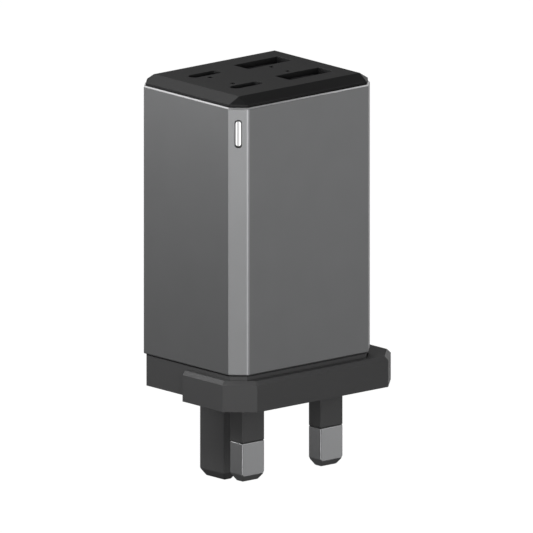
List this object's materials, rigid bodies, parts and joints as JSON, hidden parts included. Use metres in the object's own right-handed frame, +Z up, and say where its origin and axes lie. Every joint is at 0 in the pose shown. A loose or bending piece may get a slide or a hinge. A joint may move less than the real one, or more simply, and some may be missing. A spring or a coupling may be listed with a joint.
{
  "type": "travel adapter",
  "caption": "Upright USB travel charger in a metal sleeve with a bevelled port cap, a corner light bar and a slide-on mains plug head.",
  "frame": {"origin": "on the flat face of the plug, midway between the line and neutral pins", "axes": "+Z up, out of the port cap and away from the socket; +Y from the line and neutral pins to the earth pin; +X to the right seen from the front"},
  "size_m": [0.0476, 0.0415, 0.0919],
  "materials": {
    "head_plastic": "fine-grained black moulded plastic",
    "pin_metal": "nickel-plated brass, satin",
    "sleeve_plastic": "smooth black insulating plastic",
    "contact_brass": "plain stamped brass strip",
    "screw_steel": "zinc-plated steel",
    "shell_metal": "grey satin metallic",
    "cap_plastic": "black satin-gloss moulding",
    "light_lens": "white light diffuser",
    "circuit_board": "green solder mask",
    "liner_plastic": "thin natural insulating plastic",
    "base_plastic": "fine-grained black moulded plastic",
    "lead_insulation": "silicone wire insulation",
    "receptacle_steel": "drawn steel, dulled by shade",
    "tongue_plastic": "black contact carrier",
    "ferrite": "sintered grey ferrite",
    "bobbin_plastic": "phenolic bobbin",
    "winding_tape": "yellow polyester tape over the turns",
    "thermal_silicone": "soft heat-conducting pad",
    "spreader_copper": "thin copper sheet",
    "capacitor_sleeve": "shrunk plastic sleeve",
    "film_capacitor": "moulded plastic box",
    "ceramic_blue": "dipped ceramic disc",
    "copper_wire": "enamelled copper wire",
    "chip_plastic": "moulded epoxy",
    "fuse_body": "brown heat-shrunk fuse",
    "capacitor_can": "bare aluminium can",
    "catch_plastic": "fine-grained black moulded plastic",
    "spring_steel": "drawn spring wire"
  },
  "bodies": {
    "plug_head": {"head_body": "head_plastic", "pin_plate": "head_plastic", "live_pin": "pin_metal", "neutral_pin": "pin_metal", "live_sleeve": "sleeve_plastic", "neutral_sleeve": "sleeve_plastic", "earth_pin": "sleeve_plastic", "live_clip": "contact_brass", "neutral_clip": "contact_brass", "head_screws": "screw_steel"},
    "charger": {"shell": "shell_metal", "top_cap": "cap_plastic", "light_bar": "light_lens", "light_board": "circuit_board", "light_emitter": "light_lens", "liner": "liner_plastic", "base_cover": "base_plastic", "live_prong": "contact_brass", "neutral_prong": "contact_brass", "mains_leads": "lead_insulation", "case_screws": "screw_steel", "usb_c_front": "receptacle_steel", "usb_c_front_tongue": "tongue_plastic", "usb_c_rear": "receptacle_steel", "usb_c_rear_tongue": "tongue_plastic", "usb_a_front": "receptacle_steel", "usb_a_front_tongue": "tongue_plastic", "usb_a_rear": "receptacle_steel", "usb_a_rear_tongue": "tongue_plastic", "port_board": "circuit_board", "main_board": "circuit_board", "output_board": "circuit_board", "transformer_core": "ferrite", "transformer_bobbin": "bobbin_plastic", "transformer_winding": "winding_tape", "thermal_pad": "thermal_silicone", "heat_spreader": "spreader_copper", "bulk_capacitors": "capacitor_sleeve", "line_filter_capacitor": "film_capacitor", "safety_capacitor": "ceramic_blue", "choke_ring": "ferrite", "choke_winding": "copper_wire", "bridge_rectifier": "chip_plastic", "fuse": "fuse_body", "power_chips": "chip_plastic", "output_capacitors": "capacitor_can", "output_inductors": "ferrite", "output_chips": "chip_plastic", "catch_spring": "spring_steel"},
    "catch": {"release_catch": "catch_plastic"}
  },
  "joints": [
    {"name": "charger_slide", "type": "slide", "parent": "plug_head", "child": "charger", "axis": [0, 1, 0], "range_m": [0, 0.022]},
    {"name": "catch_press", "type": "slide", "parent": "charger", "child": "catch", "axis": [-1, 0, 0], "range_m": [0, 0.0015], "stiffness_N_per_m": 800, "springref_m": -0.0012, "deforming": ["catch_spring"]}
  ]
}
